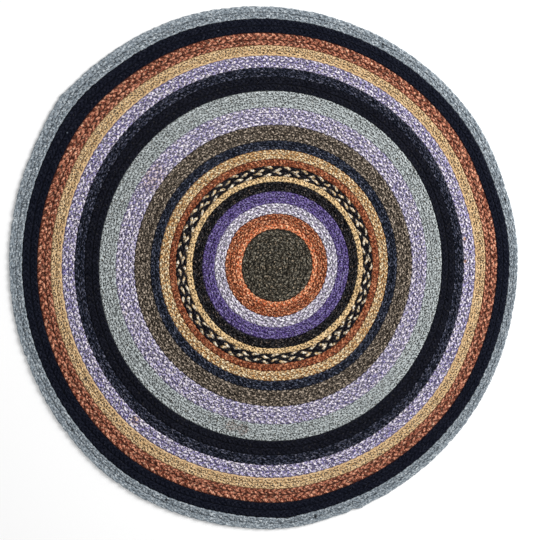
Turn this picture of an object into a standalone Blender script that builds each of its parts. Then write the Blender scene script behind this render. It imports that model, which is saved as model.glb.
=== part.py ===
# A round floor rug of plaited jute. Three-strand braids, dyed in bands of colour, are coiled
# flat and sewn row to row. Each band of one colour is a solid of its own: flat underneath,
# with one rounded ridge on top for each row of braid.
# Metres, +Z up. The origin is on the floor, at the middle of the coil.

import math
from collections import namedtuple

import bmesh
import bpy

# Heights above the floor.
CROWN_HEIGHT = 0.0080
SEAM_HEIGHT = 0.0050

# Bands are sewn edge to edge, with only this much between their solids.
BAND_GAP = 0.0003

# Steps round the rug, the same in every band so that neighbouring sides stay parallel.
ROUND_STEPS = 48

# The bands from the middle outwards. The row widths make a rug 1.2 m across.
Band = namedtuple("Band", "name rows row_width colour roughness")
BANDS = (
    Band("centre_olive", 6, 0.0140, (0.080, 0.074, 0.058), 0.93),
    Band("orange_row", 1, 0.0127, (0.680, 0.155, 0.052), 0.90),
    Band("rust_inner", 2, 0.0114, (0.370, 0.095, 0.036), 0.91),
    Band("pale_lilac", 2, 0.0122, (0.560, 0.500, 0.640), 0.88),
    Band("deep_purple", 2, 0.0138, (0.105, 0.066, 0.245), 0.90),
    Band("charcoal", 2, 0.0111, (0.018, 0.018, 0.020), 0.94),
    Band("natural_row", 1, 0.0128, (0.600, 0.400, 0.200), 0.88),
    Band("black_natural_plait", 2, 0.0115, (0.110, 0.080, 0.050), 0.92),
    Band("brick_row", 1, 0.0169, (0.270, 0.075, 0.030), 0.91),
    Band("gold", 2, 0.0108, (0.550, 0.345, 0.150), 0.88),
    Band("navy_inner", 2, 0.0108, (0.022, 0.027, 0.042), 0.93),
    Band("khaki", 3, 0.0119, (0.110, 0.090, 0.060), 0.92),
    Band("lavender", 3, 0.0135, (0.330, 0.280, 0.450), 0.89),
    Band("light_grey", 3, 0.0127, (0.330, 0.370, 0.370), 0.90),
    Band("black", 2, 0.0162, (0.010, 0.010, 0.012), 0.94),
    Band("navy_flecked", 2, 0.0108, (0.032, 0.036, 0.055), 0.93),
    Band("lilac", 2, 0.0143, (0.370, 0.310, 0.520), 0.89),
    Band("beige", 2, 0.0122, (0.540, 0.370, 0.185), 0.88),
    Band("terracotta", 2, 0.0148, (0.350, 0.110, 0.055), 0.91),
    Band("near_black", 2, 0.0163, (0.011, 0.012, 0.018), 0.94),
    Band("grey_blue_edge", 2, 0.0134, (0.250, 0.280, 0.310), 0.90),
)

# Slow waves in the rows: how many crests go round, the angle of one crest in degrees, its
# height, the radius where it is highest, and how far from there it fades.
Wave = namedtuple("Wave", "crests angle height radius fade")
WAVES = (
    Wave(2, 35, 0.0018, 0.200, 0.160),
    Wave(2, 55, 0.0015, 0.430, 0.080),
    Wave(3, 57, 0.0018, 0.325, 0.080),
    Wave(4, 35, 0.0013, 0.420, 0.150),
    Wave(3, 13, 0.0034, 0.620, 0.100),
)

# Swellings, where the ends of braids are lapped and push the rows outwards, or, with a
# negative height, where the rows draw in beside a lap. The spread is in degrees.
Swelling = namedtuple("Swelling", "angle spread height radius fade")
SWELLINGS = (
    Swelling(142, 9, 0.0075, 0.630, 0.100),
    Swelling(232, 14, 0.0042, 0.570, 0.120),
    Swelling(272, 10, 0.0045, 0.560, 0.080),
    Swelling(285, 6, -0.0030, 0.640, 0.050),
    Swelling(352, 24, -0.0085, 0.620, 0.040),
    Swelling(308, 16, 0.0040, 0.255, 0.035),
    Swelling(276, 16, -0.0034, 0.225, 0.060),
)


def clear_scene():
    for thing in list(bpy.data.objects):
        bpy.data.objects.remove(thing, do_unlink=True)


def fading(feature, radius):
    """The height of a wave or swelling at a radius."""
    return feature.height * math.exp(-(((radius - feature.radius) / feature.fade) ** 2))


def uneven_radius(radius, angle):
    """Where a perfect circle of the coil really runs at an angle, in radians."""
    shift = 0.0
    for wave in WAVES:
        shift += fading(wave, radius) * math.cos(wave.crests * (angle - math.radians(wave.angle)))
    for swelling in SWELLINGS:
        away = math.remainder(angle - math.radians(swelling.angle), math.tau)
        bell = math.exp(-((away / math.radians(swelling.spread)) ** 2))
        shift += fading(swelling, radius) * bell
    return radius + shift


def band_profile(inner, band):
    """The half section of a band as (radius, height) points, from its inner edge outwards."""
    first = inner + BAND_GAP / 2 if inner > 0 else 0.0
    last = inner + band.rows * band.row_width - BAND_GAP / 2
    profile = [(first, SEAM_HEIGHT)]
    for row in range(band.rows):
        crown = inner + (row + 0.5) * band.row_width
        seam = last if row == band.rows - 1 else inner + (row + 1) * band.row_width
        profile.append((crown, CROWN_HEIGHT))
        profile.append((seam, SEAM_HEIGHT))
    profile.append((last, 0.0))
    profile.append((first, 0.0))
    return profile


def spin_profile(profile):
    """A closed ring, or a disc where the profile starts on the axis."""
    mesh = bmesh.new()
    corners = [mesh.verts.new((radius, 0.0, height)) for radius, height in profile]
    edges = [mesh.edges.new(pair) for pair in zip(corners, corners[1:])]
    if profile[0][0] > 0:
        edges.append(mesh.edges.new((corners[-1], corners[0])))
    bmesh.ops.spin(
        mesh,
        geom=corners + edges,
        cent=(0, 0, 0),
        axis=(0, 0, 1),
        angle=math.tau,
        steps=ROUND_STEPS,
        use_merge=True,
    )
    bmesh.ops.remove_doubles(mesh, verts=mesh.verts, dist=1e-6)
    bmesh.ops.recalc_face_normals(mesh, faces=mesh.faces)
    return mesh


def follow_the_coil(mesh):
    """Moves each point of a perfect ring to where the uneven rows run."""
    for vertex in mesh.verts:
        radius = math.hypot(vertex.co.x, vertex.co.y)
        if radius > 0:
            angle = math.atan2(vertex.co.y, vertex.co.x)
            share = uneven_radius(radius, angle) / radius
            vertex.co.x *= share
            vertex.co.y *= share


def jute(band):
    """Dyed jute: matt, with no metal in it."""
    material = bpy.data.materials.new(f"{band.name}_jute")
    material.use_nodes = True
    shader = material.node_tree.nodes["Principled BSDF"]
    shader.inputs["Base Color"].default_value = (*band.colour, 1.0)
    shader.inputs["Roughness"].default_value = band.roughness
    shader.inputs["Metallic"].default_value = 0.0
    return material


def make_band(inner, band):
    mesh = spin_profile(band_profile(inner, band))
    follow_the_coil(mesh)
    data = bpy.data.meshes.new(band.name)
    mesh.to_mesh(data)
    mesh.free()
    data.materials.append(jute(band))
    data.shade_smooth()
    data.set_sharp_from_angle(angle=math.radians(60))
    thing = bpy.data.objects.new(band.name, data)
    bpy.context.collection.objects.link(thing)
    return thing


def make_rug():
    inner = 0.0
    for band in BANDS:
        make_band(inner, band)
        inner += band.rows * band.row_width


clear_scene()
make_rug()
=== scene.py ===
# The looks of a round floor rug of plaited jute. Every band of one colour is a few rows of
# three-strand plait, which follow the edges of the band's solid with all their unevenness.
# Metres, +Z up, the floor at z = 0.

import math

import bmesh
import bpy
import numpy as np
from mathutils import Matrix, Vector


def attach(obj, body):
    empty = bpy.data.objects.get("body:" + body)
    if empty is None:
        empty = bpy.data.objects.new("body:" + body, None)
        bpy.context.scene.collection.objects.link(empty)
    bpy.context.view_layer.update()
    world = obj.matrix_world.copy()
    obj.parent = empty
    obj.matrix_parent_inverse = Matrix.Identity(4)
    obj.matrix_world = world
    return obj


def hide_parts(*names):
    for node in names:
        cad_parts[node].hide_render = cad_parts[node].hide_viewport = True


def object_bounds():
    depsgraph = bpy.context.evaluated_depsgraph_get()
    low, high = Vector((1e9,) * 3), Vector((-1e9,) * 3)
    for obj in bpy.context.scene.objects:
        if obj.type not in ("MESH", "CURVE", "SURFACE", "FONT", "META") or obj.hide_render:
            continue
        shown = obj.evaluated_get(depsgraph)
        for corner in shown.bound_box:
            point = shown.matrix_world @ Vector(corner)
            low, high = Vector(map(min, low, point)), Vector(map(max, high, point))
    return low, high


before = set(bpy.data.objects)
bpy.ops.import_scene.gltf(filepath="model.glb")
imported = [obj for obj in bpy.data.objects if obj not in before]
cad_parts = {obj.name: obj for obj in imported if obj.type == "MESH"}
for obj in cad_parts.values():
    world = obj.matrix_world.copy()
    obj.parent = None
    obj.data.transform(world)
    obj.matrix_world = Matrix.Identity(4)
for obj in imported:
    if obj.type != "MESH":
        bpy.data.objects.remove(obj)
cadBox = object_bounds()
print("frame loaded")

fullTurn = 2 * math.pi
spokes = 48  # corners round each solid
fineSteps = 4096  # points round a ring when it is drawn smoothly
hair = 0.0001  # metres; what is closer than this to the floor or to the middle touches it
touching = 1e-6  # metres; two corners as close as this are one


def linearColour(hexCode):
    # sRGB hex to the linear colour that shaders read
    channels = [int(hexCode[place : place + 2], 16) / 255 for place in (1, 3, 5)]
    curved = [c / 12.92 if c <= 0.04045 else ((c + 0.055) / 1.055) ** 2.4 for c in channels]
    return (*curved, 1.0)


def addNode(tree, kind, settings=None, links=None):
    # a node, with its settings or input values by name or place, and what feeds its inputs
    node = tree.nodes.new(kind)
    for key, value in (settings or {}).items():
        if isinstance(key, str) and hasattr(node, key):
            setattr(node, key, value)
        else:
            node.inputs[key].default_value = value
    for socket, source in (links or {}).items():
        tree.links.new(source.outputs[0] if hasattr(source, "outputs") else source, node.inputs[socket])
    return node


# Where the rows run, read from the solids.

def pointsOf(data):
    points = np.empty(len(data.vertices) * 3)
    data.vertices.foreach_get("co", points)
    return points.reshape(-1, 3)


def smoothRing(radii):
    # one smooth closed curve through the radii at the corners of a solid
    waves = np.fft.rfft(radii)
    waves[-1] /= 2
    return np.fft.irfft(waves, fineSteps) * fineSteps / len(radii)


def bandEdges(node):
    # inner and outer radius of a band at each angle, from the underside of its solid
    points = pointsOf(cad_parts[node].data)
    low = points[points[:, 2] < hair]
    radius = np.hypot(low[:, 0], low[:, 1])
    spoke = np.round(np.arctan2(low[:, 1], low[:, 0]) / fullTurn * spokes).astype(int) % spokes
    outer = np.array([radius[spoke == k].max() for k in range(spokes)])
    inner = np.array([radius[(spoke == k) & (radius > hair)].min() for k in range(spokes)])
    if np.allclose(inner, outer):  # a disc has no inner edge
        return np.zeros(fineSteps), smoothRing(outer)
    return smoothRing(inner), smoothRing(outer)


def atAngle(ring, angle):
    return np.interp(angle / fullTurn * fineSteps, np.arange(fineSteps), ring, period=fineSteps)


def course(angle, inner, outer, share):
    # the middle line of a row, the way outwards from it and its width, against its length
    radius = (inner + outer) / 2
    x, y = radius * np.cos(angle), radius * np.sin(angle)
    dx, dy = np.gradient(x), np.gradient(y)
    step = np.hypot(dx, dy)
    run = np.concatenate([[0], np.cumsum((step[1:] + step[:-1]) / 2)])
    start, end = np.interp([0, 1], share, run)
    return {
        "share": (run - start) / (end - start),
        "length": end - start,
        "x": x, "y": y,
        "outX": dy / step, "outY": -dx / step,
        "width": outer - inner,
    }


pastEnds = 0.06  # share of a closed row that is repeated past each end, for what slants over it


def ringCourse(inner, outer, startAngle):
    # a row of plait whose end meets its beginning
    share = np.linspace(-pastEnds, 1 + pastEnds, fineSteps)
    angle = startAngle + fullTurn * share
    found = course(angle, atAngle(inner, angle), atAngle(outer, angle), share)
    return {**found, "closed": True}


coil = {
    "turns": 6,
    "shift": 0.34,  # share of each turn in which the braid moves out to the next row
    "startAngle": 2.1,
    "before": 0.3,  # turns by which it begins earlier, drawn in to the very middle
    "tuckedIn": 0.42,  # share of a row by which it is drawn in there
    "untucked": 0.3,  # turns after which it no longer is
    "seams": (0.15, 0.5, 0.8, 1, 2, 3, 4, 5, 6),  # where thread runs, in rows from the middle
    "end": 0.985,  # share of its length at which the tapering end is tucked in
    "tapers": (0.0015, 0.006),  # shares of its length in which the two ends come to a point
}


def coilCourse(edge):
    # one braid wound from the middle, whose last turn tapers off against the edge
    turn = np.linspace(-coil["before"], coil["turns"], fineSteps * 2)
    share = (turn + coil["before"]) / (coil["turns"] + coil["before"])
    angle = coil["startAngle"] + fullTurn * turn
    part = np.where(turn > 0, np.clip((turn % 1 - 1 + coil["shift"]) / coil["shift"], 0, 1), 0)
    row = np.clip(np.floor(turn), 0, coil["turns"] - 1) + part * part * (3 - 2 * part)
    row[-1] = coil["turns"]
    untucked = (turn + coil["before"]) / (coil["before"] + coil["untucked"])
    row -= coil["tuckedIn"] * np.clip(1 - untucked, 0, 1) ** 2
    rim = atAngle(edge, angle) / coil["turns"]
    found = course(angle, row * rim, np.minimum(row + 1, coil["turns"]) * rim, share)
    return {**found, "closed": False}


# Where rows lie a few millimetres outside the solids, or inside them where the height is
# negative: angle and spread in degrees, height, radius, and the distance in which it fades.
swellings = (
    (100, 60, 0.0060, 0.610, 0.012),
    (20, 10, -0.0060, 0.570, 0.120),
    (15, 20, 0.0045, 0.540, 0.060),
    (145, 90, -0.0025, 0.540, 0.080),
    (325, 10, 0.0030, 0.510, 0.040),
    (5, 25, 0.0060, 0.310, 0.020),
    (170, 40, -0.0025, 0.310, 0.030),
    (185, 60, 0.0035, 0.220, 0.012),
    (310, 15, -0.0030, 0.195, 0.012),
    (135, 15, 0.0030, 0.120, 0.025),
    (175, 30, -0.0040, 0.080, 0.012),
    (142.5, 2.5, 0.0030, 0.622, 0.016),  # the rim's last row ends in a corner
    (138.0, 3.0, -0.0045, 0.622, 0.016),
    (285.8, 0.8, 0.0028, 0.600, 0.016),  # ends of cut braid in the rim
    (287.6, 0.8, -0.0020, 0.600, 0.016),
    (289.6, 1.0, 0.0030, 0.600, 0.016),
    (272.0, 3.0, 0.0035, 0.573, 0.012),  # a lapped end under the rim's inner row
)


def swollen(ring):
    angle = np.arange(fineSteps) / fineSteps * 360
    moved = ring.copy()
    for middle, spread, height, radius, fade in swellings:
        away = (angle - middle + 180) % 360 - 180
        moved += height * np.exp(-((away / spread) ** 2) - ((ring - radius) / fade) ** 2)
    return moved


def rowEdges(node, look):
    # the rings between which a band's rows lie; neighbouring rows touch
    inner, outer = bandEdges(node)
    inner, outer = swollen(inner - bandGap / 2), swollen(outer + bandGap / 2)
    shares = look.get("seams", [k / look["rows"] for k in range(1, look["rows"])])
    return [inner + (outer - inner) * share for share in (0, *shares, 1)]


def coursesOf(edges, random):
    if edges[0].max() <= 0:
        return [coilCourse(edges[-1])]
    return [ringCourse(*pair, random.uniform(0, fullTurn)) for pair in zip(edges, edges[1:])]


bandGap = 0.0003  # between two neighbouring solids

# How every row is plaited. Widths are shares of the row's width, heights of the rug's height.
plait = {
    "strands": 3,
    "sides": 8,  # faces round a strand
    "steps": 10,  # faces along one turn of the plait
    "reach": 0.335,  # how far a strand swings from the middle of the row
    "strandWidth": 0.50,  # on a lobe
    "narrowerAtEdge": 0.18,  # where a strand stands on its side and turns back
    "narrowerInMiddle": 0.08,  # where strands cross
    "widerUnder": 0.14,  # underneath, where the floor presses it flat
    "strandHeight": 0.52,
    "higherAtEdge": 0.16,
    "lift": 0.235,  # how far a strand rises and falls
    "sharpness": 1.5,  # how quickly a strand changes its width between lobe, edge and crossing
    "fullHeight": 1 / 1.5,  # share of a row's usual width from which its strands are full height
    "roll": 0.38,  # radians that the outer side of a lobe hangs down
    "apart": 4.0,  # between the straight strands before plaiting
    "drifts": 3,  # a short row sways at least this many times
    "jitter": {"phase": 0.16, "reach": 0.03, "width": 0.07, "lift": 0.05, "drift": 0.012},
}
rugHeight = cadBox[1][2] - cadBox[0][2]


def wander(random, cycles):
    # slow closed noise with a spread of 1, which swings up to this many times round a row
    waves = np.zeros(fineSteps // 2 + 1, complex)
    waves[1:cycles] = random.normal(size=cycles - 1) + 1j * random.normal(size=cycles - 1)
    curve = np.fft.irfft(waves, fineSteps)
    return curve / curve.std()


def repeated(mesh, count):
    # a mesh of this many copies in a row, a metre apart and joined where they meet
    data = bpy.data.meshes.new("one of a row")
    mesh.to_mesh(data)
    mesh.free()
    first = bpy.data.objects.new("one of a row", data)
    bpy.context.scene.collection.objects.link(first)
    row = first.modifiers.new("row", "ARRAY")
    row.count = count
    row.use_relative_offset = False
    row.use_constant_offset = True
    row.constant_offset_displace = (1, 0, 0)
    row.use_merge_vertices = True
    row.merge_threshold = 0.0001
    whole = bpy.data.meshes.new_from_object(first.evaluated_get(bpy.context.evaluated_depsgraph_get()))
    bpy.data.objects.remove(first)
    bpy.data.meshes.remove(data)
    return whole


def edgesOf(ring):
    # the edges of a ring of vertices, each once and in the same order every time
    return list(dict.fromkeys(edge for vertex in ring for edge in vertex.link_edges))


def straightStrands(turns):
    # three straight strands side by side, for this many turns of the plait
    mesh = bmesh.new()
    for strand in range(plait["strands"]):
        upright = Matrix.Rotation(math.pi / 2, 4, "Y")
        place = Matrix.Translation((0, plait["apart"] * strand, 0)) @ upright
        ring = bmesh.ops.create_circle(mesh, segments=plait["sides"], radius=1, matrix=place)["verts"]
        edges = edgesOf(ring)
        for _ in range(plait["steps"]):
            grown = bmesh.ops.extrude_edge_only(mesh, edges=edges)["geom"]
            moved = {item for item in grown if isinstance(item, bmesh.types.BMVert)}
            bmesh.ops.translate(mesh, verts=list(moved), vec=(1 / plait["steps"], 0, 0))
            edges = [e for e in grown if isinstance(e, bmesh.types.BMEdge) and set(e.verts) <= moved]
    return repeated(mesh, turns)


def plaitedRow(way, turnLength, look, firstStrand, strandsInBand, random):
    # the strands of one row, plaited along its course, as a mesh with its maps
    turns = max(1, round(way["length"] / turnLength))
    data = straightStrands(turns)
    points = pointsOf(data)
    strand = np.round(points[:, 1] / plait["apart"]).astype(int)
    sideways = points[:, 1] - plait["apart"] * strand
    upwards = points[:, 2]
    along = points[:, 0] / turns
    mapStrands(data, points, strand, way["length"] / turns, firstStrand, strandsInBand, turns)

    def uneven(what, cycles):
        curves = np.array([wander(random, cycles) for _ in range(plait["strands"])])
        at = (along * fineSteps).astype(int) % fineSteps
        return plait["jitter"][what] * curves[strand, at]

    lobes = min(plait["strands"] * turns, fineSteps // 4)  # no two lobes are quite alike
    width = np.interp(along, way["share"], way["width"])
    size = np.ones(len(along))
    if not way["closed"]:  # a braid that ends is drawn in to a point
        along = coil["end"] * along
        first, last = coil["tapers"]
        toEnd = np.minimum(along / first, (coil["end"] - along) / last)
        size = np.sqrt(np.clip(toEnd, 0, 1))
        width = np.interp(along, way["share"], way["width"])
    thin = np.clip(width / np.median(width) / plait["fullHeight"], 0, 1)
    swing = fullTurn * (points[:, 0] + strand / plait["strands"]) + uneven("phase", lobes)
    reach = plait["reach"] * width * (1 + uneven("reach", lobes))
    lift = look["relief"] * plait["lift"] * rugHeight * thin * (1 + uneven("lift", lobes))
    atEdge = np.clip(-np.cos(2 * swing), 0, 1) ** plait["sharpness"]
    inMiddle = np.clip(np.cos(2 * swing), 0, 1) ** plait["sharpness"]
    under = np.clip(-np.sin(2 * swing), 0, 1)
    breadth = plait["strandWidth"] + plait["widerUnder"] * under
    breadth -= plait["narrowerAtEdge"] * atEdge + plait["narrowerInMiddle"] * inMiddle
    size = size * np.where(strand == 0, look["firstStrand"], 1)
    halfWidth = breadth / 2 * width * (1 + uneven("width", lobes)) * size
    tallness = plait["strandHeight"] + plait["higherAtEdge"] * atEdge
    halfHeight = tallness / 2 * rugHeight * thin * np.minimum(size, 1)
    across = reach * np.sin(swing) + width * uneven("drift", max(plait["drifts"], turns // 2))
    height = lift * np.sin(2 * swing)
    heading = np.stack([
        np.full(len(along), way["length"] / turns),
        fullTurn * reach * np.cos(swing),
        2 * fullTurn * lift * np.cos(2 * swing),
    ], 1)
    heading /= np.linalg.norm(heading, axis=1)[:, None]
    side = np.stack([-heading[:, 1], heading[:, 0], np.zeros(len(along))], 1)
    side /= np.linalg.norm(side, axis=1)[:, None]
    top = np.cross(heading, side)
    roll = look["relief"] * plait["roll"] * np.sin(2 * swing) * np.sin(swing)
    rolledSide = side * np.cos(roll)[:, None] - top * np.sin(roll)[:, None]
    rolledTop = side * np.sin(roll)[:, None] + top * np.cos(roll)[:, None]
    skin = rolledSide * (halfWidth * sideways)[:, None] + rolledTop * (halfHeight * upwards)[:, None]
    share = along + skin[:, 0] / way["length"]
    x, y, outX, outY = (np.interp(share, way["share"], way[k]) for k in ("x", "y", "outX", "outY"))
    away = across + skin[:, 1]
    points[:, 0] = x + away * outX
    points[:, 1] = y + away * outY
    points[:, 2] = np.maximum(rugHeight / 2 + height + skin[:, 2], hair)  # the floor presses it flat
    data.vertices.foreach_set("co", points.ravel())
    acrossRow = np.interp(share, way["share"], way["width"])
    rowsFromInside = firstStrand / plait["strands"] + 0.5 + away / acrossRow
    acrossBand = rowsFromInside * plait["strands"] / strandsInBand
    across = np.stack([along * way["length"], acrossBand], 1)[corners(data).ravel()]
    layer = data.uv_layers.new(name="across")
    layer.uv.foreach_set("vector", across.astype(np.float32).ravel())
    slots = strand[corners(data)[:, 0]] == 0  # the first strand may have a dye of its own
    data.polygons.foreach_set("material_index", slots.astype(np.int32))
    return data


def corners(data):
    # the vertices of every face, four to a face
    found = np.empty(len(data.loops), int)
    data.loops.foreach_get("vertex_index", found)
    return found.reshape(-1, 4)


metresApart = 10  # strands lie this far apart on the map called along, so no two look alike
blockShape = 2.7  # how many times as long as wide one turn of a strand is
blockMargin = 0.05  # share of a block's height that stays free above and below


def mapStrands(data, points, strand, turnLength, firstStrand, strandsInBand, turns):
    # along: metres along a strand and the share of the way round it. OFBake: every turn of
    # every strand has its own place, in rows like the lines of a page.
    corner = corners(data)
    phase = points[corner, 0]
    number = firstStrand + strand[corner]
    sideways = points[corner, 1] - plait["apart"] * strand[corner]
    around = (np.arctan2(points[corner, 2], sideways) / fullTurn) % 1.0
    # a face that the map's edge cuts goes on past the edge
    straddles = (around.max(1) - around.min(1) > 0.5)[:, None]
    around = np.where(straddles & (around < 0.25), around + 1, around)
    along = np.stack([metresApart * number + phase * turnLength, around], 2)
    blocks = strandsInBand * turns
    columns = math.ceil(math.sqrt(blocks / blockShape))
    lines = math.ceil(blocks / columns)
    whole = np.floor(phase.min(1) + hair)[:, None]
    block = number * turns + whole
    page = np.stack([
        (block % columns + phase - whole) / columns,
        (block // columns + blockMargin + (1 - 2 * blockMargin) * around) / lines,
    ], 2)
    for name, places in (("along", along), ("OFBake", page)):
        layer = data.uv_layers.new(name=name)
        layer.uv.foreach_set("vector", places.astype(np.float32).ravel())


# Materials.

# How jute yarn looks, whatever its dye. A pair is where something begins and ends to show.
# Real yarn is about 2 mm thick. It is drawn a little over 3 mm thick here, or it wouldn't show.
jute = {
    "yarnsRound": 5,  # yarns side by side round a strand
    "lay": 0.045,  # metres in which the yarns turn once round the strand
    "yarnsApart": 7.31,  # between the flecks of two yarns, in flecks
    "flecks": (0.35, 0.65),  # in shares of a noise, as are patches and stained
    "patch": 0.055,  # size of paler and darker patches, metres
    "patches": (0.3, 0.7),
    "specksAway": (3.3, 41.7, 0),  # odd flecks fall elsewhere than the others, in flecks
    "speckFade": 0.06,  # how softly an odd fleck ends
    "specks": 0.8,  # odd flecks to a fleck
    "stain": 0.006,  # a mark wider than this is a stain, which only some flecks take up
    "stained": (0.42, 0.55),
    "pitsRound": 3.7,  # pits round a strand
    "pitEdge": 0.11,  # how softly a pit ends, as a share of the way to the next one
    "ragged": 0.6,  # how uneven its edge is
    "bends": 1.9,  # of its edge, on the way to the next pit
    "scatter": 0.6,  # how far pits stray from even rows
    "strayPits": 0.25,  # how strong the painted shade of pits is where a band has few
    "bandEdge": 0.05,  # how softly that part of the band begins, as a share of its width
    "deep": (0.10, 0.42),  # where the painted shade down between the strands is full and where it has gone: from half the rug's height, in rug heights
    "lineShade": (0.30, 0.50),  # painted shade in the line between two yarns: from the middle of a yarn, in yarns
    "roughness": 0.88,
    "relief": 0.00045,  # height of the ridge of a yarn, metres
    "pitRelief": -0.9,  # in ridges
    "fibreRelief": 0.8,  # in ridges
    "fibres": 2.2,  # to a fleck
}
smooth = {"interpolation_type": "SMOOTHSTEP"}
markCore = 0.4  # share of a mark's size within which it has its full strength


def dyedJuteAndShade(name, look):
    # Dyed jute yarn, plaited: matt and fibrous, with flecks where the dye took unevenly, and
    # painted shade: dark pits where yarns dip under each other, darker lines between them and
    # darker down between the strands.
    material = bpy.data.materials.new(name)
    material.use_nodes = True
    tree = material.node_tree
    shader = tree.nodes["Principled BSDF"]
    shader.inputs["Roughness"].default_value = jute["roughness"]
    shader.inputs["Sheen Weight"].default_value = look["lustre"]
    shader.inputs["Specular IOR Level"].default_value = look["lustre"] * 2
    along = addNode(tree, "ShaderNodeUVMap", {"uv_map": "along"})
    metres, turn = addNode(tree, "ShaderNodeSeparateXYZ", links={0: along}).outputs[:2]
    place = addNode(tree, "ShaderNodeTexCoord").outputs["Object"]

    # yarns that wind round the strand
    wound = addNode(
        tree, "ShaderNodeMath", {"operation": "MULTIPLY_ADD", 1: 1 / jute["lay"]},
        {0: metres, 2: turn},
    )
    yarns = addNode(
        tree, "ShaderNodeMath", {"operation": "MULTIPLY", 1: jute["yarnsRound"]},
        {0: wound},
    )
    yarnFloor = addNode(tree, "ShaderNodeMath", {"operation": "FLOOR"}, {0: yarns})
    yarnNumber = addNode(
        tree, "ShaderNodeMath", {"operation": "FLOORED_MODULO", 1: jute["yarnsRound"]},
        {0: yarnFloor},
    )
    inYarn = addNode(tree, "ShaderNodeMath", {"operation": "FRACT"}, {0: yarns})
    fromMiddle = addNode(tree, "ShaderNodeMath", {"operation": "SUBTRACT", 1: 0.5}, {0: inYarn})
    toEdge = addNode(tree, "ShaderNodeMath", {"operation": "ABSOLUTE"}, {0: fromMiddle})

    # tone of each yarn, flecks along it, and patches over the rug
    strandNumber = addNode(tree, "ShaderNodeMath", {"operation": "SNAP", 1: metresApart}, {0: metres})
    yarnKey = addNode(tree, "ShaderNodeCombineXYZ", links={0: strandNumber, 1: yarnNumber})
    yarnTone = addNode(tree, "ShaderNodeTexWhiteNoise", {"noise_dimensions": "3D"}, {0: yarnKey})
    fleckRow = addNode(
        tree, "ShaderNodeMath", {"operation": "MULTIPLY_ADD", 1: jute["yarnsApart"]},
        {0: yarnNumber, 2: toEdge},
    )
    fleckAlong = addNode(
        tree, "ShaderNodeMath", {"operation": "MULTIPLY", 1: 1 / look["fleck"]},
        {0: metres},
    )
    fleckPlace = addNode(tree, "ShaderNodeCombineXYZ", links={0: fleckAlong, 1: fleckRow})
    flecks = addNode(
        tree, "ShaderNodeTexNoise", {"noise_dimensions": "2D", "Scale": 1, "Detail": 1.5},
        {"Vector": fleckPlace},
    )
    patches = addNode(
        tree, "ShaderNodeTexNoise", {"Scale": 1 / jute["patch"], "Detail": 2},
        {"Vector": place},
    )
    byYarn, byFleck, byPatch = look["yarnContrast"], look["fleckContrast"], look["patchContrast"]
    fleckFrom, fleckTo = jute["flecks"]
    patchFrom, patchTo = jute["patches"]
    toneByYarn = addNode(
        tree, "ShaderNodeMath",
        {"operation": "MULTIPLY_ADD", 1: byYarn, 2: (1 - byYarn) / 2}, {0: yarnTone},
    )
    toneByFleck = addNode(
        tree, "ShaderNodeMapRange",
        {"clamp": False, 1: fleckFrom, 2: fleckTo, 3: -byFleck, 4: byFleck}, {0: flecks},
    )
    toneByPatch = addNode(
        tree, "ShaderNodeMapRange",
        {"clamp": False, 1: patchFrom, 2: patchTo, 3: -byPatch, 4: byPatch}, {0: patches},
    )
    toneByRow = addNode(
        tree, "ShaderNodeMath",
        {"operation": "GREATER_THAN", 1: metresApart * plait["strands"]}, {0: metres},
    )
    rowShift = addNode(
        tree, "ShaderNodeMath", {"operation": "MULTIPLY_ADD", 1: look["outerRow"]},
        {0: toneByRow, 2: toneByPatch},
    )
    toneSum = addNode(tree, "ShaderNodeMath", {"operation": "ADD"}, {0: toneByYarn, 1: toneByFleck})
    tone = addNode(tree, "ShaderNodeMath", {"operation": "ADD"}, {0: toneSum, 1: rowShift})
    dye = addNode(tree, "ShaderNodeValToRGB", links={0: tone})
    ramp = dye.color_ramp
    ramp.elements[0].color = linearColour(look["dark"])
    ramp.elements[1].color = linearColour(look["pale"])
    ramp.elements.new(0.5).color = linearColour(look["yarn"])

    # odd flecks of another colour
    speckPlace = addNode(
        tree, "ShaderNodeVectorMath", {"operation": "ADD", 1: jute["specksAway"]},
        {0: fleckPlace},
    )
    specks = addNode(
        tree, "ShaderNodeTexNoise", {"noise_dimensions": "2D", "Scale": jute["specks"], "Detail": 1},
        {"Vector": speckPlace},
    )
    speckFrom = 1 - look["speckShare"]
    speckShare = addNode(
        tree, "ShaderNodeMapRange", {1: speckFrom, 2: speckFrom + jute["speckFade"]},
        {0: specks},
    )
    speckled = addNode(tree, "ShaderNodeMix", {"data_type": "RGBA"}, {0: speckShare, 6: dye})
    speckled.inputs[7].default_value = linearColour(look["speck"])
    colour = speckled.outputs[2]

    # knots, and stains that show on some of the flecks
    for x, y, size, hexCode, strength in look["marks"]:
        away = addNode(
            tree, "ShaderNodeVectorMath", {"operation": "DISTANCE", 1: (x, y, rugHeight)},
            {0: place},
        )
        share = addNode(
            tree, "ShaderNodeMapRange",
            {**smooth, 1: markCore * size, 2: size, 3: strength, 4: 0},
            {0: away.outputs["Value"]},
        )
        if size > jute["stain"]:
            onFlecks = addNode(
                tree, "ShaderNodeMapRange",
                {1: jute["stained"][0], 2: jute["stained"][1]}, {0: flecks},
            )
            share = addNode(tree, "ShaderNodeMath", {"operation": "MULTIPLY"}, {0: share, 1: onFlecks})
        marked = addNode(tree, "ShaderNodeMix", {"data_type": "RGBA"}, {0: share, 6: colour})
        marked.inputs[7].default_value = linearColour(hexCode)
        colour = marked.outputs[2]
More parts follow.
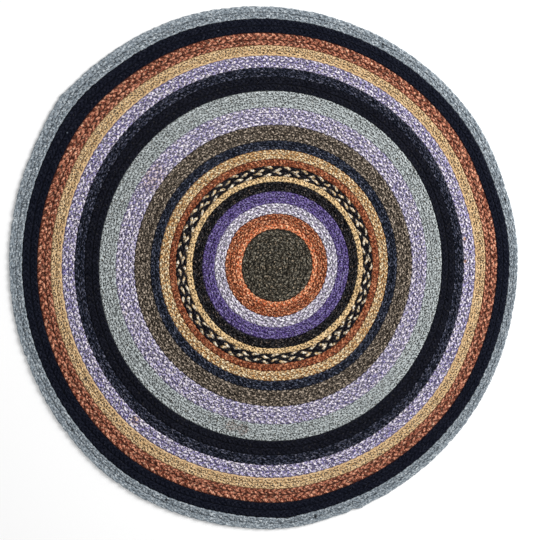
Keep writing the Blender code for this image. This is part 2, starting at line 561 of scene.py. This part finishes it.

    # pits, where a yarn dips under the next one, wind round the strand like the yarns; in the colour
    # they are painted shade, in the bump they are dents
    pitAlong = addNode(
        tree, "ShaderNodeMath", {"operation": "MULTIPLY", 1: 1 / look["pit"]},
        {0: metres},
    )
    pitRound = addNode(
        tree, "ShaderNodeMath", {"operation": "MULTIPLY", 1: jute["pitsRound"]},
        {0: wound},
    )
    pitPlace = addNode(tree, "ShaderNodeCombineXYZ", links={0: pitAlong, 1: pitRound})
    uneven = addNode(
        tree, "ShaderNodeTexNoise", {"noise_dimensions": "2D", "Scale": jute["bends"], "Detail": 2},
        {"Vector": pitPlace},
    )
    pushed = addNode(
        tree, "ShaderNodeVectorMath", {"operation": "SUBTRACT", 1: (0.5, 0.5, 0.5)},
        {0: uneven.outputs["Color"]},
    )
    push = (jute["ragged"], jute["ragged"], 0)
    raggedPlace = addNode(
        tree, "ShaderNodeVectorMath", {"operation": "MULTIPLY_ADD", 1: push},
        {0: pushed, 2: pitPlace},
    )
    toPit = addNode(
        tree, "ShaderNodeTexVoronoi",
        {"voronoi_dimensions": "2D", "Scale": 1, "Randomness": jute["scatter"]},
        {"Vector": raggedPlace},
    )
    if look["pitsBetween"]:  # the painted shade of pits is full only in this part of the band's width
        first, last = look["pitsBetween"]
        across = addNode(tree, "ShaderNodeUVMap", {"uv_map": "across"})
        acrossBand = addNode(tree, "ShaderNodeSeparateXYZ", links={0: across}).outputs[1]
        off = addNode(
            tree, "ShaderNodeMath", {"operation": "SUBTRACT", 1: (first + last) / 2},
            {0: acrossBand},
        )
        offMiddle = addNode(tree, "ShaderNodeMath", {"operation": "ABSOLUTE"}, {0: off})
        part = (last - first) / 2
        few = jute["strayPits"] * look["pitShadeStrength"]
        partFrom, partTo = part - jute["bandEdge"], part + jute["bandEdge"]
        pitted = addNode(
            tree, "ShaderNodeMapRange",
            {**smooth, 1: partFrom, 2: partTo, 3: look["pitShadeStrength"], 4: few}, {0: offMiddle},
        )

    # painted shade: darker down between the strands, in the thin line between two yarns and in the pits
    height = addNode(tree, "ShaderNodeSeparateXYZ", links={0: place}).outputs[2]
    fromCore = addNode(tree, "ShaderNodeMath", {"operation": "SUBTRACT", 1: rugHeight / 2}, {0: height})
    depth = addNode(tree, "ShaderNodeMath", {"operation": "ABSOLUTE"}, {0: fromCore})
    deepest, out = (rugHeight * share for share in jute["deep"])
    lineFrom, lineTo = jute["lineShade"]
    pitFrom, pitTo = look["pitSize"] - jute["pitEdge"], look["pitSize"] + jute["pitEdge"]
    # painted shade, darkest down between the strands near half the rug's height
    hollowShadeFactor = addNode(
        tree, "ShaderNodeMapRange",
        {**smooth, 1: deepest, 2: out, 3: 1 - look["hollowShadeStrength"], 4: 1}, {0: depth},
    )
    # painted shade in the thin line between two yarns
    lineShade = addNode(
        tree, "ShaderNodeMapRange",
        {**smooth, 1: lineFrom, 2: lineTo, 3: 1, 4: 1 - look["lineShadeStrength"]}, {0: toEdge},
    )
    # painted shade in the pits, which also dent the bump
    pit = addNode(tree, "ShaderNodeMapRange", {**smooth, 1: pitFrom, 2: pitTo, 3: 1, 4: 0}, {0: toPit})
    pitShade = addNode(tree, "ShaderNodeMath", {"operation": "MULTIPLY", 1: look["pitShadeStrength"]}, {0: pit})
    if look["pitsBetween"]:
        tree.links.new(pitted.outputs[0], pitShade.inputs[1])
    unpitted = addNode(tree, "ShaderNodeMath", {"operation": "SUBTRACT", 0: 1}, {1: pitShade})
    lines = addNode(tree, "ShaderNodeMath", {"operation": "MULTIPLY"}, {0: unpitted, 1: lineShade})
    shade = addNode(tree, "ShaderNodeMath", {"operation": "MULTIPLY"}, {0: hollowShadeFactor, 1: lines})
    # the colour of the painted shade goes where the shade is
    shaded = addNode(tree, "ShaderNodeMix", {"data_type": "RGBA"}, {0: shade, 7: colour})
    shaded.inputs[6].default_value = linearColour(look["paintedShade"])
    tree.links.new(shaded.outputs[2], shader.inputs["Base Color"])

    # yarns stand up as ridges with loose fibres on them, and pits go down
    ridge = addNode(tree, "ShaderNodeMapRange", {**smooth, 1: 0, 2: 0.5, 3: 1, 4: 0}, {0: toEdge})
    fibrePlace = addNode(tree, "ShaderNodeCombineXYZ", links={0: fleckAlong, 1: yarns})
    fibres = addNode(
        tree, "ShaderNodeTexNoise",
        {"noise_dimensions": "2D", "Scale": jute["fibres"], "Detail": 4, "Roughness": 0.65},
        {"Vector": fibrePlace},
    )
    yarnRelief = addNode(
        tree, "ShaderNodeMath", {"operation": "MULTIPLY_ADD", 1: jute["pitRelief"]},
        {0: pit, 2: ridge},
    )
    relief = addNode(
        tree, "ShaderNodeMath", {"operation": "MULTIPLY_ADD", 1: jute["fibreRelief"]},
        {0: fibres, 2: yarnRelief},
    )
    bump = addNode(
        tree, "ShaderNodeBump", {"Strength": 1, "Distance": jute["relief"]},
        {"Height": relief},
    )
    tree.links.new(bump.outputs[0], shader.inputs["Normal"])
    return material


# A dye, as it is on the yarn: its dark and pale flecks, odd flecks of another colour (speck)
# and their share, and, last, the colour of the painted shade down between strands and yarns
# and in pits. Then how strongly the painted shade shows in hollows, in lines between yarns
# and in pits, and how strongly flecks show, the distance between two pits and the length of
# a fleck in metres, the size of a pit as a share of the way to the next one, and the part of
# the band's width that has most of the pits. outerRow is how much paler the outer rows are,
# lustre the sheen of the fibres, firstStrand how thick one strand is beside the others, and
# relief how round the strands lie.

def dyesAndShade(dark, yarn, pale, speck, speckShare, paintedShade, hollowShadeStrength=0.6, lineShadeStrength=0.5, pitShadeStrength=0.85,
         pit=0.0054, pitSize=0.27, pitsBetween=None, yarnContrast=0.35, fleckContrast=0.75,
         patchContrast=0.08, outerRow=0, lustre=0.05, fleck=0.0038, firstStrand=1, relief=1,
         marks=()):
    return {
        "dark": dark, "yarn": yarn, "pale": pale, "speck": speck, "speckShare": speckShare,
        "paintedShade": paintedShade, "hollowShadeStrength": hollowShadeStrength, "lineShadeStrength": lineShadeStrength, "pitShadeStrength": pitShadeStrength, "pit": pit,
        "pitSize": pitSize, "pitsBetween": pitsBetween, "yarnContrast": yarnContrast,
        "fleckContrast": fleckContrast, "patchContrast": patchContrast, "outerRow": outerRow,
        "lustre": lustre, "fleck": fleck, "firstStrand": firstStrand, "relief": relief,
        "marks": marks,
    }


# Fine, even braid in which strands hardly show; bold braid; and black braid, where little shows.
fine = {
    "hollowShadeStrength": 0.03, "lineShadeStrength": 0.1, "pitShadeStrength": 1.0, "pit": 0.006, "pitSize": 0.31,
    "yarnContrast": 0.05, "fleckContrast": 0.2, "patchContrast": 0.05, "relief": 0.6,
}
bold = {"hollowShadeStrength": 0.6, "pitShadeStrength": 1.0, "yarnContrast": 0.25}
black = {
    "hollowShadeStrength": 0.25, "pitShadeStrength": 0.5, "lustre": 0.0, "yarnContrast": 0.3, "fleckContrast": 0.2,
    "relief": 0.7,
}

# Where the photograph shows knots and stains: place on the rug and size in metres, colour and
# strength.
marks = {
    "light_grey": (
        (-0.1059, -0.3645, 0.020, "#82604C", 0.6),
        (-0.0800, -0.3740, 0.018, "#8A5A46", 0.6),
        (-0.0712, -0.3701, 0.0050, "#1C1612", 1),
        (0.2140, 0.3148, 0.0045, "#16171C", 1),
        (-0.3117, -0.2384, 0.0045, "#16171C", 1),
        (-0.2991, -0.2237, 0.0045, "#16171C", 1),
    ),
    "natural_row": (
        (0.0880, -0.2012, 0.0050, "#1C1612", 1),
        (0.0952, -0.1971, 0.0045, "#1C1612", 1),
        (0.1024, -0.1933, 0.0045, "#1C1612", 1),
    ),
    "brick_row": ((0.0522, -0.2332, 0.0045, "#15120F", 1),),
    "gold": ((0.0948, -0.2496, 0.0040, "#20160C", 1), (0.0574, -0.2586, 0.0045, "#20160C", 1)),
    "grey_blue_edge": (
        (0.2565, 0.5226, 0.0050, "#101218", 1),
        (0.5134, 0.2820, 0.0050, "#101218", 1),
        (0.5638, 0.1600, 0.0050, "#101218", 1),
        (0.0908, -0.5810, 0.0060, "#101218", 1),
        (-0.2537, -0.5270, 0.0055, "#1E1E26", 1),
        (-0.4610, -0.3640, 0.0050, "#1E1E26", 1),
    ),
    "beige": ((-0.4320, -0.2515, 0.0055, "#2A3040", 1),),
    "lilac": (
        (-0.3230, -0.3467, 0.014, "#D8B080", 0.8),
        (0.4600, 0.0646, 0.0060, "#D89A60", 0.8),
        (0.4610, 0.0105, 0.0060, "#D89A60", 0.8),
    ),
    "lavender": (
        (-0.2830, 0.1980, 0.045, "#C8A088", 0.45),
        (0.2379, -0.2443, 0.0050, "#1A1826", 1),
        (0.2195, -0.2589, 0.0045, "#1A1826", 1),
    ),
    "near_black": (
        (-0.1352, 0.5366, 0.0030, "#6A707C", 1),
        (-0.2223, 0.5255, 0.0030, "#6A707C", 1),
        (-0.4729, 0.2929, 0.0030, "#6A707C", 1),
    ),
}

naturalDyeAndShade = dyesAndShade("#C9A673", "#FBE4C0", "#FFF8E8", "#5A4630", 0.40, "#33261A", pitShadeStrength=0.7)

# The bands from the middle outwards, with the rows of braid in each, the length in metres of
# one turn of each row's plait, and its dyes and painted shade. seams: where the next row
# begins, as a share of the band's width, where rows aren't equally wide.
bands = {
    "centre_olive": {
        "rows": 6, "turn": [0.042],
        **dyesAndShade(
            "#221E19", "#454033", "#847E71", "#A8967E", 0.36, "#0F0D0A", yarnContrast=0.2,
        ),
    },
    "orange_row": {
        "rows": 1, "turn": [0.0426],
        **dyesAndShade(
            "#C25834", "#FC9460", "#FFCEA2", "#FFDCBA", 0.34, "#5A220E", pit=0.0046,
            yarnContrast=0.2, fleckContrast=0.45,
        ),
    },
    "rust_inner": {
        "rows": 2, "turn": [0.0475],
        **dyesAndShade(
            "#78341B", "#BC5D34", "#F2A87C", "#F9C09C", 0.36, "#35150A",
            **{**bold, "hollowShadeStrength": 0.45},
        ),
    },
    "pale_lilac": {
        "rows": 2, "turn": [0.046],
        **dyesAndShade(
            "#C4B9D4", "#FAF2FE", "#FFFDFF", "#8E84A6", 0.32, "#322D42", **bold,
        ),
    },
    "deep_purple": {
        "rows": 2, "turn": [0.074, 0.069],
        **dyesAndShade(
            "#3A2B62", "#63508E", "#9086B6", "#AAA2C4", 0.34, "#181028",
            **{**fine, "fleckContrast": 0.4},
        ),
    },
    "charcoal": {
        "rows": 2, "turn": [0.039],
        **dyesAndShade(
            "#07070B", "#1A1A1F", "#4A484A", "#7D6D62", 0.36, "#040408", outerRow=0.05,
            lustre=0.01,
        ),
    },
    "natural_row": {
        "rows": 1, "turn": [0.0363],
        **dyesAndShade(
            "#B68E5E", "#F1CD96", "#FCEAC6", "#7A6248", 0.34, "#3A2C1E",
            marks=marks["natural_row"], **fine,
        ),
    },
    "black_natural_plait": {
        "rows": 2, "turn": [0.0456, 0.0415], "firstStrandDyeAndShade": naturalDyeAndShade,
        **dyesAndShade(
            "#100F14", "#1D1C22", "#333138", "#4A4440", 0.34, "#08070B", lustre=0.01,
            firstStrand=1.2,
        ),
    },
    "brick_row": {
        "rows": 1, "turn": [0.0342],
        **dyesAndShade(
            "#5E2918", "#9A5033", "#D29068", "#DBA683", 0.30, "#2E130A", yarnContrast=0.06,
            fleckContrast=0.45, patchContrast=0.03, hollowShadeStrength=0.3, marks=marks["brick_row"],
        ),
    },
    "gold": {
        "rows": 2, "turn": [0.0396],
        **dyesAndShade(
            "#C79058", "#FFD79A", "#FFF3D0", "#FFF6D8", 0.32, "#55300F", marks=marks["gold"],
            **bold,
        ),
    },
    "navy_inner": {
        "rows": 2, "turn": [0.043],
        **dyesAndShade(
            "#0B0F1B", "#222837", "#575D70", "#7E8090", 0.35, "#05080F", lustre=0.02,
            fleck=0.005, yarnContrast=0.25,
        ),
    },
    "khaki": {
        "rows": 3, "turn": [0.046],
        **dyesAndShade(
            "#322A22", "#695C4E", "#BAAA99", "#CDBDAC", 0.36, "#171310", **bold,
        ),
    },
    "lavender": {
        "rows": 3, "turn": [0.049],
        **dyesAndShade(
            "#928ABA", "#DCD3EC", "#FDF6FB", "#FDF1F2", 0.34, "#242036",
            marks=marks["lavender"], **bold,
        ),
    },
    "light_grey": {
        "rows": 3, "turn": [0.0696],
        **dyesAndShade(
            "#858C8D", "#B6BDBE", "#DEE4E4", "#665E50", 0.33, "#222422",
            marks=marks["light_grey"], **fine,
        ),
    },
    "black": {
        "rows": 2, "turn": [0.035],
        **dyesAndShade(
            "#0F1119", "#1D1E27", "#242630", "#2E2D2F", 0.33, "#06070A", **black,
        ),
    },
    "navy_flecked": {
        "rows": 2, "turn": [0.0411],
        **dyesAndShade(
            "#0B101C", "#1A202F", "#525568", "#787888", 0.37, "#05080F", yarnContrast=0.7,
            outerRow=0.13, lustre=0.02, fleck=0.006,
        ),
    },
    "lilac": {
        "rows": 2, "turn": [0.049],
        **dyesAndShade(
            "#8A80B7", "#D5CCE8", "#FCF5FA", "#FDF1F2", 0.34, "#242036", outerRow=-0.07,
            marks=marks["lilac"], **bold,
        ),
    },
    "beige": {
        "rows": 2, "turn": [0.0606],
        **dyesAndShade(
            "#B58E5E", "#DBB788", "#F6E0B8", "#8A7050", 0.26, "#1C1C24",
            pitsBetween=(0.18, 0.95), outerRow=0.06, marks=marks["beige"], **fine,
        ),
    },
    "terracotta": {
        "rows": 2, "seams": [0.43], "turn": [0.047, 0.054],
        **dyesAndShade(
            "#602B1C", "#A45F49", "#E9A585", "#F7C8A8", 0.32, "#2B1009", hollowShadeStrength=0.8,
            lineShadeStrength=0.3, pitShadeStrength=0.25, yarnContrast=0.2, fleckContrast=0.5,
        ),
    },
    "near_black": {
        "rows": 2, "turn": [0.0364],
        **dyesAndShade(
            "#0D101A", "#1A1C27", "#242732", "#2B2C36", 0.33, "#06080E", outerRow=0.12,
            marks=marks["near_black"], **black,
        ),
    },
    "grey_blue_edge": {
        "rows": 2, "turn": [0.0705],
        **dyesAndShade(
            "#636D76", "#8B959D", "#CDD4D8", "#555C64", 0.28, "#181B20",
            pitsBetween=(0.1, 0.62), fleck=0.005, marks=marks["grey_blue_edge"],
            **{**fine, "pitShadeStrength": 0.65, "fleckContrast": 0.3},
        ),
    },
}


# Lacing thread, which runs in each seam from row to row.
lacing = {
    "radius": 0.0013,
    "height": 0.0034,  # of its core above the floor
    "sides": 5,
    "steps": 128,  # faces along a ring
    "shadow": "#0A0A0D",  # between its fibres
    "fibres": 900,  # to a metre
    "fibreRelief": 0.0002,
    "fibreStrength": 0.6,
    "roughness": 0.7,
    "shine": 0.1,
}


def linenThread(name, hexCode):
    # waxed linen: a matt twisted thread, paler on its fibres
    material = bpy.data.materials.new(name)
    material.use_nodes = True
    tree = material.node_tree
    shader = tree.nodes["Principled BSDF"]
    shader.inputs["Roughness"].default_value = lacing["roughness"]
    shader.inputs["Specular IOR Level"].default_value = lacing["shine"]
    place = addNode(tree, "ShaderNodeTexCoord").outputs["Object"]
    fibres = addNode(
        tree, "ShaderNodeTexNoise", {"Scale": lacing["fibres"], "Detail": 2},
        {"Vector": place},
    )
    dye = addNode(tree, "ShaderNodeValToRGB", links={0: fibres})
    dye.color_ramp.elements[0].color = linearColour(lacing["shadow"])
    dye.color_ramp.elements[1].color = linearColour(hexCode)
    tree.links.new(dye.outputs[0], shader.inputs["Base Color"])
    bump = addNode(
        tree, "ShaderNodeBump",
        {"Strength": lacing["fibreStrength"], "Distance": lacing["fibreRelief"]},
        {"Height": fibres},
    )
    tree.links.new(bump.outputs[0], shader.inputs["Normal"])
    return material


def laceSeam(seam):
    # a ring of thread, spun a metre wide and then laid along the seam
    mesh = bmesh.new()
    place = Matrix.Translation((1, 0, lacing["height"])) @ Matrix.Rotation(math.pi / 2, 4, "X")
    circle = bmesh.ops.create_circle(
        mesh, segments=lacing["sides"], radius=lacing["radius"], matrix=place,
    )
    ring = circle["verts"]
    bmesh.ops.spin(
        mesh, geom=ring + edgesOf(ring), axis=(0, 0, 1), angle=fullTurn, steps=lacing["steps"],
        use_merge=True,
    )
    for vertex in mesh.verts:
        angle = math.atan2(vertex.co.y, vertex.co.x)
        radius = float(atAngle(seam, angle)) + math.hypot(vertex.co.x, vertex.co.y) - 1
        vertex.co.x, vertex.co.y = radius * math.cos(angle), radius * math.sin(angle)
    return mesh


def laceBand(node, look, edges):
    # thread in every seam of a band and in the seam round it
    seams = edges[1:-1] if node == outermost else edges[1:]
    if not edges[0].any():
        seams = [edges[-1] * k / coil["turns"] for k in coil["seams"]]
    mesh = bmesh.new()
    for seam in seams:
        laid = laceSeam(seam)
        data = bpy.data.meshes.new("seam")
        laid.to_mesh(data)
        laid.free()
        mesh.from_mesh(data)
        bpy.data.meshes.remove(data)
    bmesh.ops.recalc_face_normals(mesh, faces=mesh.faces)
    data = bpy.data.meshes.new(node + "_lacing")
    mesh.to_mesh(data)
    mesh.free()
    data.shade_smooth()
    data.materials.append(linenThread(node + "_waxed_thread", look["dark"]))
    laced = bpy.data.objects.new(node + "_lacing", data)
    bpy.context.scene.collection.objects.link(laced)
    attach(laced, "root")
    return laced


def braidBand(node, look, number):
    # all rows of a band as one mesh, which stands for the band's solid
    random = np.random.default_rng(firstSeed + number)
    if node == coiled:
        edges = [np.zeros(fineSteps), swollen(bandEdges(node)[1])]
    else:
        edges = rowEdges(node, look)
    ways = coursesOf(edges, random)
    strandCount = plait["strands"] * len(ways)
    mesh = bmesh.new()
    for row, way in enumerate(ways):
        turnLength = look["turn"][row % len(look["turn"])]
        data = plaitedRow(way, turnLength, look, plait["strands"] * row, strandCount, random)
        mesh.from_mesh(data)
        bpy.data.meshes.remove(data)
    bmesh.ops.remove_doubles(mesh, verts=mesh.verts, dist=touching)
    bmesh.ops.recalc_face_normals(mesh, faces=mesh.faces)
    data = bpy.data.meshes.new(node + "_braid")
    mesh.to_mesh(data)
    mesh.free()
    data.shade_smooth()
    data.materials.append(dyedJuteAndShade(node + "_dyed_jute_and_shade", look))
    if "firstStrandDyeAndShade" in look:
        data.materials.append(dyedJuteAndShade("undyed_jute_and_shade", look["firstStrandDyeAndShade"]))
    else:
        data.materials.append(data.materials[0])
    braid = bpy.data.objects.new(node + "_braid", data)
    bpy.context.scene.collection.objects.link(braid)
    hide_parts(node)
    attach(braid, "root")
    laced = laceBand(node, look, edges)


firstSeed = 1000  # every band has its own unevenness, the same each time
coiled, *_, outermost = bands

for number, (node, look) in enumerate(bands.items()):
    braidBand(node, look, number)
print("bands plaited and laced")


# Floor, light and camera.

stage = {
    "floor": "#FCFCFC",
    "floorRoughness": 0.9,
    "floorSize": 14,
    "world": 0.65,
    "lamp": {"at": (2.0, 1.1, 1.9), "size": 1.8, "power": 86},  # metres and watts
}


def layFloor():
    mesh = bmesh.new()
    bmesh.ops.create_grid(mesh, x_segments=1, y_segments=1, size=stage["floorSize"] / 2)
    data = bpy.data.meshes.new("floor")
    mesh.to_mesh(data)
    mesh.free()
    floor = bpy.data.objects.new("floor", data)
    bpy.context.scene.collection.objects.link(floor)
    # matt white paint shows the rug's soft shadow and no gloss
    paint = bpy.data.materials.new("matt white paint")
    paint.use_nodes = True
    shader = paint.node_tree.nodes["Principled BSDF"]
    shader.inputs["Base Color"].default_value = linearColour(stage["floor"])
    shader.inputs["Roughness"].default_value = stage["floorRoughness"]
    data.materials.append(paint)


def lightStage():
    world = bpy.data.worlds.new("soft studio")
    world.use_nodes = True
    background = world.node_tree.nodes["Background"]
    background.inputs["Color"].default_value = (1, 1, 1, 1)
    background.inputs["Strength"].default_value = stage["world"]
    bpy.context.scene.world = world
    light = bpy.data.lights.new("soft lamp", "AREA")
    light.shape = "DISK"
    light.size = stage["lamp"]["size"]
    light.energy = stage["lamp"]["power"]
    lamp = bpy.data.objects.new("soft lamp", light)
    lamp.location = stage["lamp"]["at"]
    lamp.rotation_euler = Vector(stage["lamp"]["at"]).to_track_quat("Z", "Y").to_euler()
    bpy.context.scene.collection.objects.link(lamp)


view = {
    "lean": math.radians(11.43),  # of the line of sight from straight down
    "turn": math.radians(4.45),
    "distance": 2.242,  # metres
    "lens": 64.7,  # mm
    "sensor": 36,
    "photoSize": 540,
    "shift": (-6.24, -4.63),  # pixels by which the rug lies off the middle of the photo
}


def placeCamera():
    lean, turn = view["lean"], view["turn"]
    nearSide = Vector((math.cos(turn), math.sin(turn), 0))
    farSide = Vector((-math.sin(turn), math.cos(turn), 0))
    up = Vector((0, 0, 1))
    away = up * math.cos(lean) - nearSide * math.sin(lean)
    flat = nearSide * math.cos(lean) + up * math.sin(lean)
    right = flat * math.cos(turn) - farSide * math.sin(turn)
    above = flat * math.sin(turn) + farSide * math.cos(turn)
    lens = bpy.data.cameras.new("camera")
    lens.lens = view["lens"]
    lens.sensor_width = view["sensor"]
    lens.shift_x, lens.shift_y = (pixels / view["photoSize"] for pixels in view["shift"])
    camera = bpy.data.objects.new("camera", lens)
    axes = Matrix((right, above, away)).transposed().to_4x4()
    camera.matrix_world = Matrix.Translation(away * view["distance"]) @ axes
    bpy.context.scene.collection.objects.link(camera)
    bpy.context.scene.camera = camera


layFloor()
lightStage()
placeCamera()
bpy.context.scene.view_settings.view_transform = "Standard"
print("stage set")
